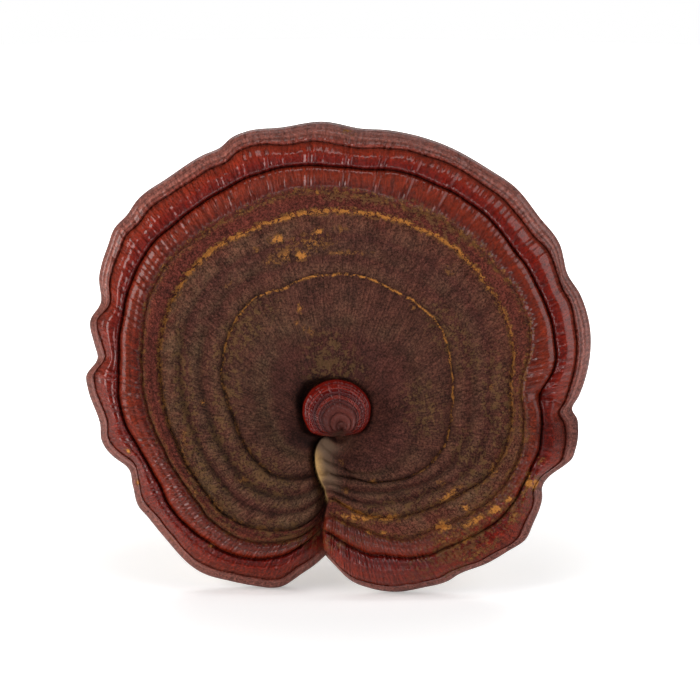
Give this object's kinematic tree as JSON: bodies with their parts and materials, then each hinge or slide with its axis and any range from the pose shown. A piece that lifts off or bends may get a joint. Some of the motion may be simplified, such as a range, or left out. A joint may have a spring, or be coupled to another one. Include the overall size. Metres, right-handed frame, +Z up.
{
  "type": "dried reishi mushroom",
  "caption": "Dried lacquered bracket mushroom with a lobed, ringed cap, a small young cap at its centre and a curved stem behind, standing on its lobes and cut stem.",
  "frame": {"origin": "on the surface it stands on, under the centre of its bounding box", "axes": "+Z up, -Y the way the lacquered face looks, +X to the right of someone who faces it"},
  "size_m": [0.1614, 0.0964, 0.1453],
  "materials": {
    "cap_crust": "dried fungus: dusty matt brown centre, lacquered red-brown outer bands, pale pore surface behind",
    "young_cap_crust": "dried fungus: glossy red lacquer with fine rings, purple-brown near its neck",
    "stem_crust": "dried fungus: dark red-brown lacquer, pale fibrous cut face"
  },
  "bodies": {
    "root": {"cap": "cap_crust", "young_cap": "young_cap_crust", "stem": "stem_crust"}
  },
  "joints": []
}
